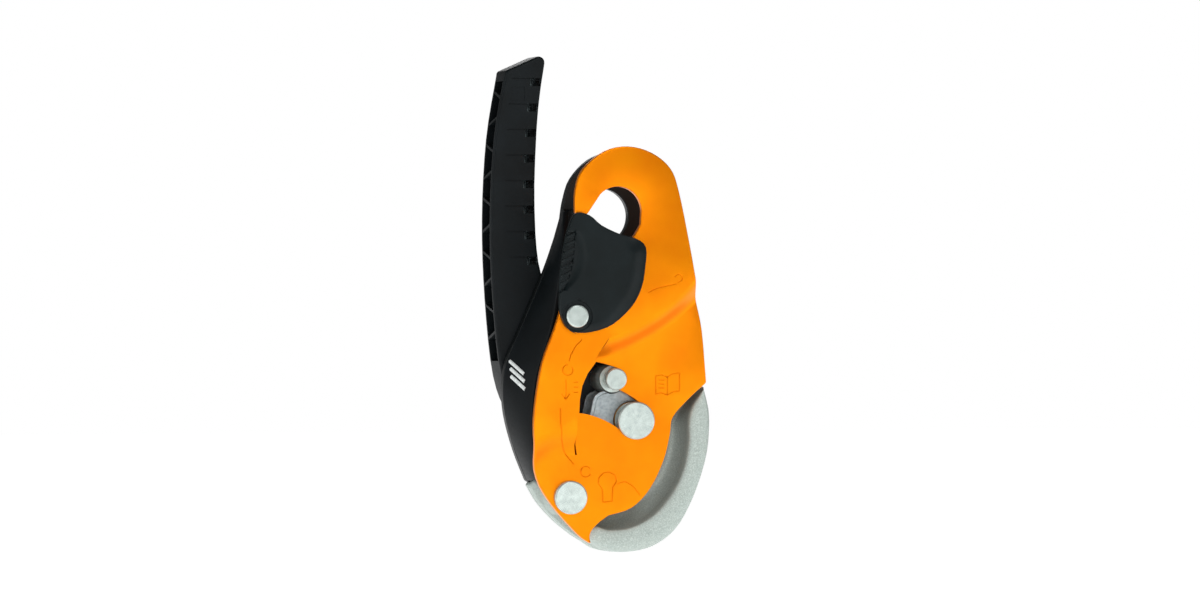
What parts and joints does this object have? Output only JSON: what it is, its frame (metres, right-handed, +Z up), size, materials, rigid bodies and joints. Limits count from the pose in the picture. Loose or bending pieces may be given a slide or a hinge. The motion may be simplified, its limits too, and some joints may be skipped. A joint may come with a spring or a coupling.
{
  "type": "self-braking descender",
  "caption": "Handled self-braking rope descender: fixed plate with connector eye, swing-open stepped plate with spring gate, rope cam, cast friction block and lever handle",
  "frame": {"origin": "centre of the connector eye, on the front face of the fixed plate", "axes": "+X to the right seen from the front, +Y to the back along the eye and every hinge, +Z up along the body towards the eye"},
  "size_m": [0.0858, 0.0583, 0.1981],
  "materials": {
    "orange_anodised": "orange anodised, satin",
    "black_anodised": "black hard anodised, satin",
    "cast_silver": "cast, bead blasted",
    "pin_steel": "turned stainless steel",
    "spring_steel": "drawn wire",
    "dark_steel": "hardened steel, oiled",
    "screw_steel": "zinc plated",
    "bronze": "sintered bronze",
    "black_plastic": "moulded, fine grain",
    "nylon": "natural nylon"
  },
  "bodies": {
    "chassis": {"fixed_side_plate": "black_anodised", "side_guard": "black_plastic", "guard_rivets": "screw_steel", "friction_block": "cast_silver", "block_screws": "screw_steel", "main_axle": "pin_steel", "axle_nut": "screw_steel", "stop_pin": "pin_steel", "pivot_rivet": "pin_steel", "pivot_washer": "nylon", "catch_pin": "pin_steel", "catch_spring": "spring_steel"},
    "side_plate": {"moving_side_plate": "orange_anodised", "gate_rivet": "pin_steel", "gate_spring": "spring_steel"},
    "gate": {"safety_gate": "black_plastic"},
    "cam": {"cam": "dark_steel", "cam_bushing": "bronze", "cam_spring": "spring_steel", "drive_disc": "dark_steel"},
    "catch": {"catch": "dark_steel"},
    "handle": {"handle_arm": "black_plastic", "handle_hub": "dark_steel", "friction_washer": "spring_steel", "hub_cover": "black_plastic", "hub_cover_screws": "screw_steel", "pawl_pin": "pin_steel", "pawl_spring": "spring_steel"},
    "pawl": {"pawl": "dark_steel"}
  },
  "joints": [
    {"name": "side_plate_swing", "type": "hinge", "parent": "chassis", "child": "side_plate", "pos_m": [-0.0181, 0, -0.1119], "axis": [0, 1, 0], "range_deg": [0, 110]},
    {"name": "gate_pivot", "type": "hinge", "parent": "side_plate", "child": "gate", "pos_m": [-0.0175, 0, -0.04], "axis": [0, 1, 0], "range_deg": [0, 32], "stiffness_Nm_per_rad": 0.02, "springref_deg": -34.38},
    {"name": "cam_swing", "type": "hinge", "parent": "chassis", "child": "cam", "pos_m": [0.0087, 0, -0.0815], "axis": [0, 1, 0], "range_deg": [-20, 0], "stiffness_Nm_per_rad": 0.08, "springref_deg": 28.65},
    {"name": "catch_pivot", "type": "hinge", "parent": "chassis", "child": "catch", "pos_m": [-0.026, 0, -0.063], "axis": [0, 1, 0], "range_deg": [0, 45], "stiffness_Nm_per_rad": 0.006, "springref_deg": -34.38},
    {"name": "handle_swing", "type": "hinge", "parent": "chassis", "child": "handle", "pos_m": [0.0087, 0, -0.0815], "axis": [0, 1, 0], "range_deg": [-110, 0]},
    {"name": "pawl_pivot", "type": "hinge", "parent": "handle", "child": "pawl", "pos_m": [-0.0121, 0, -0.0695], "axis": [0, 1, 0], "range_deg": [-15, 0], "stiffness_Nm_per_rad": 0.004, "springref_deg": 28.65}
  ]
}
